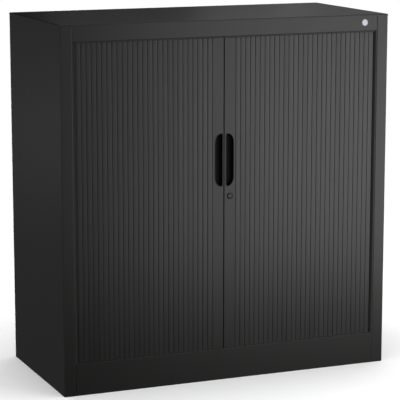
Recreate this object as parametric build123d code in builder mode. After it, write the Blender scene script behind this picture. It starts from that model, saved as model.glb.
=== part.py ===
from build123d import *

import math
import os

# Steel cabinet, shut by two tambour doors that slide sideways into its walls.
# Millimetres. The front faces -Y, Z is up, and the origin is on the floor, midway across
# the width and the depth. `side` is -1 for pieces on the left and +1 for those on the right.

# ---------------------------------------------------------------- case
case_width = 1000.0
case_depth = 470.0
case_height = 1040.0
sheet = 1.0                # folded steel
fold_radius = 2.5          # outside of the folds round the case
tight_fold = 1.5           # outside of the folds at the rails, trays and liners
upright_width = 35.0       # front face of each side panel
top_rail_height = 47.5
kick_height = 92.0
lid_skirt = 6.0
rear_flange = 15.0
kick_hem = 13.0            # flange that the kick plate stands on
side_hem = 10.0            # flange that each side panel stands on
back_hem = 12.0            # flange that the back panel stands on
seat_margin = 14.0         # rail seat, behind the track that lies on it
seat_lip = 14.0
sheet_fit = 0.3            # gap round a panel that drops in between others

# ---------------------------------------------------------------- curtain of slats
slat_pitch = 15.0
slat_thickness = 7.0
rib_recess = 7.0           # from the front of the case back to the ribs
rib_gap = 1.4              # dark groove between two ribs
rib_crown = 0.4
rib_lip = 1.5
hinge_offset = 1.0         # hinge line, behind the middle of the slat
bead_radius = 1.1
bead_play = 0.2
socket_wall = 1.1
socket_gap = 0.7           # between a socket and the slat it turns on
neck_thickness = 1.0
hook_outer_angles = (110.0, 146.0)   # round the bead, from the slat's own direction
hook_inner_angles = (152.0, 122.0)
mouth_angle = 245.0
tail_cover = 18.0          # least length of curtain kept behind the upright
hinge_tries = 10           # steps that settle where the next hinge lies

# ---------------------------------------------------------------- tracks
track_height = 14.0
track_floor = 2.0
track_wall = 1.6
groove_play = 0.5
track_side_gap = 2.4       # from the side panel to the track
corner_ease = 2.6          # extra inner radius, room for a straight slat in the bend
track_rear_gap = 9.0
running_gap = 0.3          # under whatever slides or rests
slat_top_gap = 1.5

# ---------------------------------------------------------------- lead slats and grips
meeting_x = -14.0          # where the two doors meet
meeting_gap = 2.0
lead_width = 34.0
lead_depth = 12.0
lead_wall = 1.6
lead_lip = 4.0
lead_edge_radius = 1.2     # along the meeting edge
lead_end_gap = 1.0         # from the lead slat to the rails
shoe_height = 20.0
shoe_side_gap = 1.0
grip_width = 23.0
grip_length = 151.0
grip_top_drop = 323.0      # from the top of the case
grip_corner_radius = 20.0
grip_depth = 14.0
grip_wall = 1.0
grip_rim_height = 0.6
left_grip_edge = 3.5       # from the lead slat's meeting edge to the flat side of the cup
right_grip_edge = 5.7

# ---------------------------------------------------------------- lock
lock_edge = 17.5           # from the right lead slat's meeting edge
lock_drop = 29.0           # from the lower end of the grips
lock_face_radius = 9.25
lock_face_height = 1.8
lock_barrel_radius = 7.9
lock_barrel_flats = 13.4   # across the flats that stop it turning
lock_barrel_length = 20.0
lock_plug_radius = 6.0
lock_plug_fit = 0.08
keyway_width = 2.0
keyway_height = 8.0
keyway_depth = 9.0
lock_nut_across = 20.0
lock_nut_thickness = 3.5
cam_tail = 6.0             # square end of the plug
cam_thickness = 2.0
cam_width = 13.0
cam_corner = 3.25          # chamfer at its corners
cam_reach = 31.5           # from the plug to the keeper pin
cam_end = 5.5              # beyond the pin
cam_screw_across = 7.0
cam_screw_height = 2.8
hook_play = 0.9
keeper_pin_radius = 2.5
keeper_plate_thickness = 1.5
keeper_plate_height = 30.0
keeper_pin_end = 3.5       # beyond the cam

# ---------------------------------------------------------------- shelves
shelf_heights = (385.0, 685.0)   # slot that each shelf's clips hang in
shelf_thickness = 30.0
shelf_front_setback = 45.0
shelf_side_gap = 2.1
shelf_rear_gap = 2.0
shelf_return = 10.0
slot_pitch = 100.0
slot_end_margin = 193.0
slot_width = 14.0
slot_height = 4.0
slot_front_inset = 80.0
slot_rear_inset = 60.0
liner_bend_angle = 60.0
liner_flange = 12.0
clip_thickness = 1.5
clip_width = 12.0
clip_drop = 16.0
clip_ledge = 12.0
clip_hook = 1.2

# ---------------------------------------------------------------- feet and base rails
foot_inset_x = 30.0
foot_inset_y = 30.0
foot_across = 27.0
foot_height = 9.0
foot_lift = 0.5            # screwed in, clear of the floor
foot_chamfer = 1.5
stem_radius = 3.9
stem_length = 48.0
stem_slot = 1.6
stem_slot_depth = 3.0
stem_fit = 0.1
foot_nut_across = 14.0
foot_nut_height = 8.0
base_rail_height = 66.0
base_rail_foot = 49.0
base_rail_lip = 8.0
base_rail_hole = 9.0       # square, under each foot nut
top_rail_flange = 19.0
access_hole = 10.0         # square, over each foot
plug_rim = 1.5
plug_thickness = 1.5
plug_depth = 5.0
plug_wall = 1.2
plug_fit = 0.1

# ---------------------------------------------------------------- badge
badge_radius = 9.5
badge_thickness = 0.8
badge_inset_x = 75.0
badge_drop = 23.0

# ---------------------------------------------------------------- worked out from the above
half_width = case_width / 2
front_y = -case_depth / 2
back_y = case_depth / 2
opening_half = half_width - upright_width
opening_low = kick_height
opening_high = case_height - top_rail_height
skirt_low = case_height - lid_skirt
inside_back_y = back_y - 2 * sheet

slat_front = slat_thickness / 2 + hinge_offset
slat_back = slat_thickness / 2 - hinge_offset
socket_inner = bead_radius + bead_play
socket_outer = socket_inner + socket_wall
bead_reach = socket_outer + socket_gap

path_y = front_y + rib_recess + slat_thickness / 2
groove_half = slat_thickness / 2 + groove_play
track_half = groove_half + track_wall
path_x = half_width - sheet - track_side_gap - track_half
turn_radius = path_x - opening_half
hinge_y = path_y + hinge_offset
hinge_radius = turn_radius - hinge_offset
turn_centre_y = path_y + turn_radius
track_front_y = path_y - track_half
track_back_y = path_y + track_half
track_end_y = inside_back_y - track_rear_gap
low_track_z = opening_low - track_height
high_track_z = opening_high
low_seat_z = low_track_z
high_seat_z = opening_high + track_height
slat_low = low_track_z + track_floor + running_gap
slat_high = high_track_z + track_height - track_floor - slat_top_gap

rib_front_y = front_y + rib_recess
lead_back_y = rib_front_y + lead_depth
lead_low = opening_low + lead_end_gap
lead_high = opening_high - lead_end_gap
grip_high = case_height - grip_top_drop
grip_low = grip_high - grip_length
left_edge_x = meeting_x - meeting_gap / 2
right_edge_x = meeting_x + meeting_gap / 2

lock_x = right_edge_x + lock_edge
lock_height = grip_low - lock_drop
barrel_end_y = rib_front_y + lock_barrel_length
cam_back_y = barrel_end_y + cam_thickness

tray_half = path_x - track_half - sheet_fit
tray_front_y = track_back_y + sheet_fit
tray_corner = turn_radius - track_half + corner_ease + sheet_fit
liner_inner_x = tray_half - sheet
slot_front_y = front_y + slot_front_inset
slot_rear_y = back_y - slot_rear_inset
shelf_half = liner_inner_x - shelf_side_gap
shelf_front_y = front_y + shelf_front_setback
shelf_back_y = inside_back_y - shelf_rear_gap
rail_inner_x = opening_half + sheet
rail_front_y = track_front_y
rail_rear_y = back_y - fold_radius
foot_x = half_width - foot_inset_x
foot_y = case_depth / 2 - foot_inset_y
base_rail_low = low_seat_z - base_rail_height


def lead_edge(side):
    """Meeting edge of a door's lead slat."""
    return left_edge_x if side < 0 else right_edge_x


def hinge_start(side):
    """Distance from the middle of the case to the first hinge, on the lead slat's outer edge."""
    return side * lead_edge(side) + lead_width + rib_gap / 2


def hinge_point(side, run):
    """Place of the hinge line, `run` along it from the lead slat: straight, bend, straight."""
    straight = opening_half - hinge_start(side)
    past = run - straight
    quarter = hinge_radius * math.pi / 2
    if past <= 0:
        return (side * (opening_half + past), hinge_y)
    if past <= quarter:
        turn = past / hinge_radius
        reach = opening_half + hinge_radius * math.sin(turn)
        return (side * reach, turn_centre_y - hinge_radius * math.cos(turn))
    return (side * (opening_half + hinge_radius), turn_centre_y + past - quarter)


def next_run(side, run):
    """Run of the next hinge, one straight slat further on."""
    step = slat_pitch
    for _ in range(hinge_tries):
        reach = math.dist(hinge_point(side, run), hinge_point(side, run + step))
        step += slat_pitch - reach
    return run + step


def polar(radius, degrees):
    """Point at a distance and a direction from the hinge line."""
    return (radius * math.cos(math.radians(degrees)), radius * math.sin(math.radians(degrees)))


def bead():
    """Square bead with its neck, as the edge of a slat has it, centred on the hinge line."""
    side = bead_radius * math.sqrt(2)
    with BuildSketch() as profile:
        Rectangle(side, side, rotation=45)
        with Locations((-bead_reach / 2, 0)):
            Rectangle(bead_reach, neck_thickness)
    return profile.sketch


def slat_profile():
    """Section of one slat, hinge line at the origin, next hinge at +X, ribbed face to +Y."""
    face_low = slat_front - rib_crown
    lip_low = face_low - rib_lip
    face_start = rib_gap / 2
    face_end = slat_pitch - rib_gap / 2
    web_end = slat_pitch - bead_reach
    hook_outer = [polar(socket_outer, angle) for angle in hook_outer_angles]
    hook_inner = [polar(socket_inner + bead_play, angle) for angle in hook_inner_angles]
    mouth_slope = 1 / math.tan(math.radians(mouth_angle))
    with BuildSketch() as section:
        with BuildLine():
            ThreePointArc((face_end, face_low), (slat_pitch / 2, slat_front), (face_start, face_low))
            Polyline((face_start, face_low), *hook_outer, *hook_inner, (socket_inner, socket_inner),
                     (socket_inner, -socket_inner), (-socket_inner * mouth_slope, -socket_inner),
                     (-slat_back * mouth_slope, -slat_back), (web_end, -slat_back), (web_end, lip_low),
                     (face_end, lip_low), (face_end, face_low))
        make_face()
        with Locations((slat_pitch, 0)):
            add(bead())
    return section.sketch


def curtain(side):
    """All the slats of one door, hooked into each other from the lead slat round the bend."""
    straight = opening_half - hinge_start(side)
    slat_count = math.ceil((straight + tail_cover) / slat_pitch)
    start_z = slat_low if side < 0 else slat_high
    with BuildPart() as slat:
        add(slat_profile())
        extrude(amount=slat_high - slat_low)
    places = []
    run = 0.0
    for _ in range(slat_count):
        end_run = next_run(side, run)
        x, y = hinge_point(side, run)
        end_x, end_y = hinge_point(side, end_run)
        plane = Plane(origin=(x, y, start_z), x_dir=(end_x - x, end_y - y, 0), z_dir=(0, 0, -side))
        places.append(plane.location)
        run = end_run
    with BuildPart() as slats:
        with Locations(*places):
            add(slat.part)
    return slats.part


def track_outline(side, half, end_y):
    """Strip, in plan, that follows the curtain's way from the meeting point round one corner."""
    outer_x = side * (path_x + half)
    inner_x = side * (path_x - half)
    outer_y = path_y - half
    inner_y = path_y + half
    outer_radius = turn_radius + half
    inner_radius = turn_radius - half + corner_ease
    with BuildSketch() as strip:
        with BuildLine():
            FilletPolyline((meeting_x, outer_y), (outer_x, outer_y), (outer_x, end_y), radius=outer_radius)
            Line((outer_x, end_y), (inner_x, end_y))
            FilletPolyline((inner_x, end_y), (inner_x, inner_y), (meeting_x, inner_y), radius=inner_radius)
            Line((meeting_x, inner_y), (meeting_x, outer_y))
        make_face()
    return strip.sketch


def track(side, low_z, groove_z):
    """Moulded channel that guides one edge of a door."""
    with BuildPart() as channel:
        with BuildSketch(Plane.XY.offset(low_z)):
            add(track_outline(side, track_half, track_end_y))
        extrude(amount=track_height)
        with BuildSketch(Plane.XY.offset(groove_z)):
            add(track_outline(side, groove_half, track_end_y - track_wall))
        extrude(amount=track_height - track_floor, mode=Mode.SUBTRACT)
    return channel.part


def rail_fold(face_z, ledge_z, seat_z, lip_z, hem=0.0):
    """Face, ledge, track seat and lip of the top rail or the kick plate, as one folded sheet."""
    seat_back_y = track_back_y + seat_margin
    points = [(front_y, face_z), (front_y, ledge_z), (track_front_y, ledge_z), (track_front_y, seat_z),
              (seat_back_y, seat_z), (seat_back_y, lip_z)]
    radii = [tight_fold, 0, 0, 0]
    if hem:
        points.insert(0, (front_y + hem, face_z))
        radii.insert(0, 0)
    with BuildSketch() as fold:
        with BuildLine():
            FilletPolyline(*points, radius=radii)
            offset(amount=sheet, side=Side.RIGHT, kind=Kind.INTERSECTION)
        make_face()
    return fold.sketch


def side_panel():
    """Left wall with its front upright and rear flange."""
    with BuildPart() as panel:
        with BuildSketch():
            with BuildLine():
                FilletPolyline((-opening_half, track_front_y), (-opening_half, front_y), (-half_width, front_y),
                               (-half_width, back_y), (rear_flange - half_width, back_y), radius=fold_radius)
                offset(amount=sheet, side=Side.RIGHT)
            make_face()
        extrude(amount=skirt_low)
        hem_front = front_y + fold_radius
        hem_back = inside_back_y - back_hem
        with BuildSketch():
            with Locations((side_hem / 2 + sheet / 2 - half_width, (hem_front + hem_back) / 2)):
                Rectangle(side_hem - sheet, hem_back - hem_front)
        extrude(amount=sheet)
    return panel.part


def lead_profile(side):
    """Section of a lead slat: an open-backed box with a bead for the first slat."""
    edge_x = lead_edge(side)
    outer_x = edge_x + side * lead_width
    hinge_x = side * hinge_start(side)
    leg_x = hinge_x - side * (bead_reach + lead_wall / 2)
    inner_leg_x = edge_x + side * lead_wall / 2
    middle_y = (rib_front_y + lead_back_y) / 2
    lip_y = lead_back_y - lead_wall / 2
    lip_shift = side * (lead_wall + lead_lip) / 2
    with BuildSketch() as section:
        with Locations(((edge_x + outer_x) / 2, rib_front_y + lead_wall / 2)):
            Rectangle(lead_width, lead_wall)
        with Locations((leg_x, middle_y), (inner_leg_x, middle_y)):
            Rectangle(lead_wall, lead_depth)
        with Locations((leg_x - lip_shift, lip_y), (inner_leg_x + lip_shift, lip_y)):
            Rectangle(lead_lip, lead_wall)
        with Locations(Location((hinge_x, hinge_y), 90 - 90 * side)):
            add(bead())
    return section.sketch


def grip_profile(side, margin):
    """Outline of a grip cup: straight beside the meeting edge, rounded on the other side."""
    edge = left_grip_edge if side < 0 else right_grip_edge
    middle_x = lead_edge(side) + side * (edge + grip_width / 2)
    with BuildSketch(Plane.XZ.offset(-rib_front_y)) as cup:
        with Locations((middle_x, (grip_low + grip_high) / 2)):
            Rectangle(grip_width + 2 * margin, grip_length + 2 * margin)
        columns = cup.vertices().group_by(Axis.X)
        outer = columns[-1] if side > 0 else columns[0]
        fillet(outer, radius=grip_corner_radius + margin)
    return cup.sketch


def lock_barrel_profile():
    """Section of the lock's barrel: round, with a flat above and below."""
    with BuildSketch(Plane.XZ.offset(-rib_front_y)) as barrel:
        with Locations((lock_x, lock_height)):
            Circle(lock_barrel_radius)
            Rectangle(2 * lock_barrel_radius, lock_barrel_flats, mode=Mode.INTERSECT)
    return barrel.sketch


def lead_slat(side):
    """Stiff first slat of a door, cut out for its grip cup, and on the right for the lock."""
    with BuildPart() as lead:
        with BuildSketch(Plane.XY.offset(lead_low)):
            add(lead_profile(side))
        extrude(amount=lead_high - lead_low)
        front_edges = lead.edges().filter_by(Axis.Z).group_by(Axis.Y)[0]
        fillet(front_edges.sort_by(Axis.X)[0 if side > 0 else -1], radius=lead_edge_radius)
        extrude(grip_profile(side, grip_wall), amount=-lead_depth, mode=Mode.SUBTRACT)
        if side > 0:
            extrude(lock_barrel_profile(), amount=-lead_wall, mode=Mode.SUBTRACT)
    return lead.part


def grip_cup(side):
    """Moulded finger cup, its rim just proud of the lead slat."""
    with BuildPart() as cup:
        extrude(grip_profile(side, grip_wall), amount=-grip_depth - grip_wall)
        extrude(grip_profile(side, grip_wall), amount=grip_rim_height)
        extrude(grip_profile(side, 0), amount=grip_rim_height, mode=Mode.SUBTRACT)
        extrude(grip_profile(side, 0), amount=-grip_depth, mode=Mode.SUBTRACT)
    return cup.part


def guide_shoes(side):
    """Plugs in both ends of a lead slat, each with a tongue that runs in the track."""
    edge_x = lead_edge(side)
    hinge_x = side * hinge_start(side)
    block_start = edge_x + side * lead_wall
    block_end = hinge_x - side * (bead_reach + lead_wall)
    block_back = lead_back_y - lead_wall
    block_front = rib_front_y + lead_wall
    tongue_start = edge_x + side * shoe_side_gap
    tongue_end = hinge_x - side * bead_reach
    with BuildPart() as shoes:
        for end_z, tip_z, grow in ((lead_low, slat_low, 1), (lead_high, slat_high, -1)):
            with BuildSketch(Plane.XY.offset(end_z)):
                with Locations(((block_start + block_end) / 2, (block_front + block_back) / 2)):
                    Rectangle(abs(block_end - block_start), block_back - block_front)
            extrude(amount=grow * shoe_height)
            with BuildSketch(Plane.XY.offset(tip_z)):
                with Locations(((tongue_start + tongue_end) / 2, path_y)):
                    Rectangle(abs(tongue_end - tongue_start), slat_thickness)
            extrude(amount=end_z - tip_z)
    return shoes.part


def tray(plate_z, flange_z):
    """Floor or ceiling of the inside, with flanges all round that meet the rails."""
    low_z = min(plate_z, flange_z)
    middle_y = (tray_front_y + inside_back_y) / 2
    with BuildPart() as pan:
        with BuildSketch(Plane.XY.offset(low_z)) as outline:
            with Locations((0, middle_y)):
                Rectangle(2 * tray_half, inside_back_y - tray_front_y)
            fillet(outline.vertices().group_by(Axis.Y)[0], radius=tray_corner)
        extrude(amount=track_height)
        faces = pan.faces().sort_by(Axis.Z)
        offset(amount=-sheet, openings=faces[0] if plate_z > flange_z else faces[-1])
    return pan.part


def slot_rows():
    """Height of the liner's lowest slots, and how many there are in a row going up."""
    low = opening_low + slot_end_margin
    count = math.floor((opening_high - slot_end_margin - low) / slot_pitch) + 1
    return low, count


def seat_slot(wanted_z):
    """Height of the slot nearest to the one asked for."""
    low, count = slot_rows()
    step = round((wanted_z - low) / slot_pitch)
    return low + min(max(step, 0), count - 1) * slot_pitch


def liner():
    """Left inner wall, bent behind the upright, with two rows of slots for shelf clips."""
    low, count = slot_rows()
    with BuildPart() as wall:
        with BuildSketch(Plane.XY.offset(opening_low)):
            with BuildLine():
                folded = Polyline((liner_flange - tray_half, inside_back_y), (-tray_half, inside_back_y),
                                  (-tray_half, tray_front_y + tray_corner))
                JernArc(folded @ 1, folded % 1, tray_corner, liner_bend_angle)
                offset(amount=sheet, side=Side.LEFT, kind=Kind.INTERSECTION)
            make_face()
        extrude(amount=opening_high - opening_low)
        with BuildSketch(Plane.YZ.offset(-tray_half)):
            with Locations(((slot_front_y + slot_rear_y) / 2, low + (count - 1) * slot_pitch / 2)):
                with GridLocations(slot_rear_y - slot_front_y, slot_pitch, 2, count):
                    Rectangle(slot_width, slot_height)
        extrude(amount=sheet, mode=Mode.SUBTRACT)
    return wall.part


def shelf(slot_z):
    """Folded shelf that rests on four clips."""
    low_z = slot_z - clip_drop + clip_thickness + running_gap
    middle_y = (shelf_front_y + shelf_back_y) / 2
    depth = shelf_back_y - shelf_front_y
    with BuildPart() as board:
        with BuildSketch(Plane.XY.offset(low_z)):
            with Locations((0, middle_y)):
                Rectangle(2 * shelf_half, depth)
        extrude(amount=shelf_thickness)
        fillet(board.edges().group_by(Axis.Z)[-1].sort_by(Axis.Y)[0], radius=tight_fold)
        offset(amount=-sheet, openings=board.faces().sort_by(Axis.Z)[0])
        with BuildSketch(Plane.XY.offset(low_z)):
            return_y = depth / 2 - (shelf_return + sheet) / 2
            with Locations((0, middle_y - return_y), (0, middle_y + return_y)):
                Rectangle(2 * (shelf_half - sheet), shelf_return - sheet)
        extrude(amount=sheet)
    return board.part


def shelf_clips():
    """Bent clips, four to a shelf, each with a tab in its slot and a ledge under the shelf."""
    drop_middle = (clip_thickness - clip_drop) / 2
    with BuildPart() as clip:
        with BuildSketch(Plane.XZ.offset(-clip_width / 2)):
            with Locations((clip_thickness / 2, drop_middle + clip_thickness / 4)):
                Rectangle(clip_thickness, clip_drop + clip_thickness / 2)
            with Locations((clip_thickness / 2 - (sheet + clip_hook) / 2, 0)):
                Rectangle(sheet + clip_hook + clip_thickness, clip_thickness)
            with Locations(((clip_thickness + clip_ledge) / 2, clip_thickness / 2 - clip_drop)):
                Rectangle(clip_thickness + clip_ledge, clip_thickness)
        extrude(amount=clip_width)
    places = []
    for wanted_z in shelf_heights:
        for y in (slot_front_y, slot_rear_y):
            z = seat_slot(wanted_z)
            places.append(Plane(origin=(-liner_inner_x, y, z)).location)
            places.append(Plane(origin=(liner_inner_x, y, z), x_dir=(-1, 0, 0)).location)
    with BuildPart() as clips:
        with Locations(*places):
            add(clip.part)
    return clips.part


def foot_places(z):
    """Centres of the four feet, at one height."""
    return [(x, y, z) for y in (-foot_y, foot_y) for x in (-foot_x, foot_x)]


def base_rail():
    """Left rail along the base: it carries the tracks and the floor, and holds the feet."""
    low = base_rail_low
    wall_x = sheet - half_width
    with BuildPart() as rail:
        with BuildSketch(Plane.XZ.offset(-rail_rear_y)):
            with BuildLine():
                Polyline((-rail_inner_x, low_seat_z), (wall_x, low_seat_z), (wall_x, low),
                         (wall_x + base_rail_foot, low), (wall_x + base_rail_foot, low + base_rail_lip))
                offset(amount=sheet, side=Side.LEFT, kind=Kind.INTERSECTION)
            make_face()
        extrude(amount=rail_rear_y - rail_front_y)
        with BuildSketch(Plane.XY.offset(low)):
            with Locations((-foot_x, -foot_y), (-foot_x, foot_y)):
                Rectangle(base_rail_hole, base_rail_hole)
        extrude(amount=sheet, mode=Mode.SUBTRACT)
    return rail.part


def top_side_rail():
    """Left rail under the top cover, above the tracks."""
    wall_x = sheet - half_width
    high = case_height - sheet
    with BuildPart() as rail:
        with BuildSketch(Plane.XZ.offset(-rail_rear_y)):
            with BuildLine():
                FilletPolyline((-rail_inner_x, high_seat_z), (wall_x, high_seat_z), (wall_x, high),
                               (wall_x + top_rail_flange, high), radius=[0, fold_radius])
                offset(amount=sheet, side=Side.RIGHT, kind=Kind.INTERSECTION)
            make_face()
        extrude(amount=rail_rear_y - rail_front_y)
    return rail.part


def foot_pad(x, y):
    """Six-sided foot, chamfered under its rim, that a stem stands on."""
    with BuildPart() as pad:
        with BuildSketch(Plane.XY.offset(foot_lift)):
            with Locations((x, y)):
                RegularPolygon(foot_across / 2, 6, major_radius=False)
        extrude(amount=foot_height)
        chamfer(pad.edges().group_by(Axis.Z)[0], length=foot_chamfer)
    return pad.part


def foot_stem(x, y):
    """Stem of a foot, slotted at its top for a screwdriver."""
    low_z = foot_lift + foot_height
    with BuildPart() as stem:
        with BuildSketch(Plane.XY.offset(low_z)):
            with Locations((x, y)):
                Circle(stem_radius)
        extrude(amount=stem_length)
        with BuildSketch(Plane.XY.offset(low_z + stem_length)):
            with Locations((x, y)):
                Rectangle(2 * stem_radius, stem_slot)
        extrude(amount=-stem_slot_depth, mode=Mode.SUBTRACT)
    return stem.part


def foot_nuts():
    """Nuts welded on the base rails, over the holes for the stems."""
    with BuildPart() as nuts:
        with BuildSketch(Plane.XY.offset(base_rail_low + sheet)):
            with Locations(*foot_places(0)):
                RegularPolygon(foot_nut_across / 2, 6, major_radius=False)
                Circle(stem_radius + stem_fit, mode=Mode.SUBTRACT)
        extrude(amount=foot_nut_height)
    return nuts.part


def access_plugs():
    """Push-in caps over the holes that a screwdriver reaches the feet through."""
    neck = access_hole - 2 * plug_fit
    with BuildPart() as plugs:
        with BuildSketch(Plane.XY.offset(opening_low)):
            with Locations(*foot_places(0)):
                Rectangle(access_hole + 2 * plug_rim, access_hole + 2 * plug_rim)
        extrude(amount=plug_thickness)
        with BuildSketch(Plane.XY.offset(opening_low)):
            with Locations(*foot_places(0)):
                Rectangle(neck, neck)
                Rectangle(neck - 2 * plug_wall, neck - 2 * plug_wall, mode=Mode.SUBTRACT)
        extrude(amount=-plug_depth)
    return plugs.part


def lock_housing():
    """Round lock case: a face on the lead slat and a barrel through it."""
    with BuildPart() as housing:
        with BuildSketch(Plane.XZ.offset(-rib_front_y)):
            with Locations((lock_x, lock_height)):
                Circle(lock_face_radius)
        extrude(amount=lock_face_height)
        extrude(lock_barrel_profile(), amount=-lock_barrel_length)
        with BuildSketch(Plane.XZ.offset(lock_face_height - rib_front_y)):
            with Locations((lock_x, lock_height)):
                Circle(lock_plug_radius + lock_plug_fit)
        extrude(amount=-lock_face_height - lock_barrel_length, mode=Mode.SUBTRACT)
    return housing.part


def lock_plug():
    """Turning plug with its keyway, and a square tail for the cam."""
    face_offset = lock_face_height - rib_front_y
    with BuildPart() as plug:
        with BuildSketch(Plane.XZ.offset(face_offset)):
            with Locations((lock_x, lock_height)):
                Circle(lock_plug_radius)
        extrude(amount=-lock_face_height - lock_barrel_length)
        with BuildSketch(Plane.XZ.offset(-barrel_end_y)):
            with Locations((lock_x, lock_height)):
                Rectangle(cam_tail, cam_tail)
        extrude(amount=-cam_thickness)
        with BuildSketch(Plane.XZ.offset(face_offset)):
            with Locations((lock_x, lock_height)):
                Rectangle(keyway_width, keyway_height)
        extrude(amount=-keyway_depth, mode=Mode.SUBTRACT)
    return plug.part


def lock_cam():
    """Hooked arm on the plug, hanging down when the doors are free to move."""
    notch_half = keeper_pin_radius + hook_play
    pin_z = lock_height - cam_reach
    end_z = pin_z - keeper_pin_radius - cam_end
    top_z = lock_height + cam_width / 2
    with BuildPart() as cam:
        with BuildSketch(Plane.XZ.offset(-barrel_end_y)) as outline:
            with Locations((lock_x, (top_z + end_z) / 2)):
                Rectangle(cam_width, top_z - end_z)
            chamfer(outline.vertices(), length=cam_corner)
            with Locations((lock_x, lock_height)):
                Rectangle(cam_tail, cam_tail, mode=Mode.SUBTRACT)
            with Locations((lock_x, pin_z)):
                Circle(notch_half, mode=Mode.SUBTRACT)
            with Locations((lock_x - cam_width / 2, pin_z)):
                Rectangle(cam_width, 2 * notch_half, mode=Mode.SUBTRACT)
        extrude(amount=-cam_thickness)
    return cam.part


def cam_screw():
    """Six-sided screw head that keeps the cam on the plug."""
    with BuildPart() as screw:
        with BuildSketch(Plane.XZ.offset(-cam_back_y)):
            with Locations((lock_x, lock_height)):
                RegularPolygon(cam_screw_across / 2, 6, major_radius=False)
        extrude(amount=-cam_screw_height)
    return screw.part


def lock_nut():
    """Nut that holds the lock housing to the wall of the lead slat."""
    with BuildPart() as nut:
        with BuildSketch(Plane.XZ.offset(-rib_front_y - lead_wall)):
            with Locations((lock_x, lock_height)):
                RegularPolygon(lock_nut_across / 2, 6, major_radius=False, rotation=30)
                Circle(lock_barrel_radius, mode=Mode.SUBTRACT)
        extrude(amount=-lock_nut_thickness)
    return nut.part


def lock_keeper():
    """Plate across the back of the left lead slat, with the pin that the cam hooks over."""
    start_x = lead_edge(-1) - lead_wall / 2
    end_x = -hinge_start(-1) + bead_reach + lead_wall / 2
    pin_length = cam_back_y + keeper_pin_end - lead_back_y
    with BuildPart() as keeper:
        with BuildSketch(Plane.XZ.offset(-lead_back_y)):
            with Locations(((start_x + end_x) / 2, lock_height)):
                Rectangle(start_x - end_x, keeper_plate_height)
        extrude(amount=-keeper_plate_thickness)
        with BuildSketch(Plane.XZ.offset(-lead_back_y)):
            with Locations((lock_x - cam_reach, lock_height)):
                Circle(keeper_pin_radius)
        extrude(amount=-pin_length)
    return keeper.part


def save(part, name):
    """Label a finished piece and write it out."""
    part.label = name
    export_step(part, f"parts/{name}.step")


os.makedirs("parts", exist_ok=True)

# ---------------------------------------------------------------- top cover
with BuildPart() as top_cover:
    with BuildSketch(Plane.XY.offset(skirt_low)):
        Rectangle(case_width, case_depth)
    extrude(amount=lid_skirt)
    fillet(top_cover.edges().group_by(Axis.Z)[-1], radius=fold_radius)
    offset(amount=-sheet, openings=top_cover.faces().sort_by(Axis.Z)[0])
    with BuildSketch(Plane.YZ.offset(-opening_half)):
        add(rail_fold(skirt_low, opening_high, high_seat_z, high_seat_z + seat_lip))
    extrude(amount=2 * opening_half)
save(top_cover.part, "top_cover")

# ---------------------------------------------------------------- side panels, mirror images
with BuildPart() as left_side_panel:
    add(side_panel())
save(left_side_panel.part, "left_side_panel")

with BuildPart() as right_side_panel:
    mirror(left_side_panel.part, about=Plane.YZ)
save(right_side_panel.part, "right_side_panel")

# ---------------------------------------------------------------- kick plate
with BuildPart() as kick_plate:
    with BuildSketch(Plane.YZ.offset(-opening_half)):
        add(rail_fold(0, opening_low, low_seat_z, low_seat_z - seat_lip, kick_hem))
    extrude(amount=2 * opening_half)
save(kick_plate.part, "kick_plate")

# ---------------------------------------------------------------- back panel
with BuildPart() as back_panel:
    back_half = half_width - sheet - fold_radius
    with BuildSketch(Plane.YZ.offset(-back_half)):
        with BuildLine():
            FilletPolyline((inside_back_y - back_hem + sheet, 0), (back_y - sheet, 0),
                           (back_y - sheet, case_height - sheet - fold_radius), radius=tight_fold)
            offset(amount=sheet, side=Side.LEFT)
        make_face()
    extrude(amount=2 * back_half)
save(back_panel.part, "back_panel")

# ---------------------------------------------------------------- floor and ceiling
with BuildPart() as floor_tray:
    add(tray(opening_low, low_seat_z))
    with BuildSketch(Plane.XY.offset(opening_low)):
        with Locations(*foot_places(0)):
            Rectangle(access_hole, access_hole)
    extrude(amount=-sheet, mode=Mode.SUBTRACT)
save(floor_tray.part, "floor_tray")

with BuildPart() as ceiling_tray:
    add(tray(opening_high, high_seat_z))
save(ceiling_tray.part, "ceiling_tray")

# ---------------------------------------------------------------- liners and rails, left and right
for name, piece in (("liner", liner()), ("base_rail", base_rail()), ("top_side_rail", top_side_rail())):
    save(piece, f"left_{name}")
    with BuildPart() as mirrored:
        mirror(piece, about=Plane.YZ)
    save(mirrored.part, f"right_{name}")

# ---------------------------------------------------------------- doors
for side, word in ((-1, "left"), (1, "right")):
    save(track(side, low_track_z, low_track_z + track_floor), f"{word}_bottom_track")
    save(track(side, high_track_z, high_track_z), f"{word}_top_track")
    save(curtain(side), f"{word}_curtain")
    save(lead_slat(side), f"{word}_lead_slat")
    save(grip_cup(side), f"{word}_grip_cup")
    save(guide_shoes(side), f"{word}_guide_shoes")

# ---------------------------------------------------------------- lock
save(lock_housing(), "lock_housing")
save(lock_nut(), "lock_nut")
save(lock_plug(), "lock_plug")
save(lock_cam(), "lock_cam")
save(cam_screw(), "cam_screw")
save(lock_keeper(), "lock_keeper")

# ---------------------------------------------------------------- shelves
for name, wanted_z in zip(("lower_shelf", "upper_shelf"), shelf_heights):
    save(shelf(seat_slot(wanted_z)), name)
save(shelf_clips(), "shelf_clips")

# ---------------------------------------------------------------- feet
foot_names = ("front_left_foot", "front_right_foot", "rear_left_foot", "rear_right_foot")
for name, (x, y, _) in zip(foot_names, foot_places(0)):
    save(foot_pad(x, y), name)
    save(foot_stem(x, y), f"{name}_stem")
save(foot_nuts(), "foot_nuts")
save(access_plugs(), "access_plugs")

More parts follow.
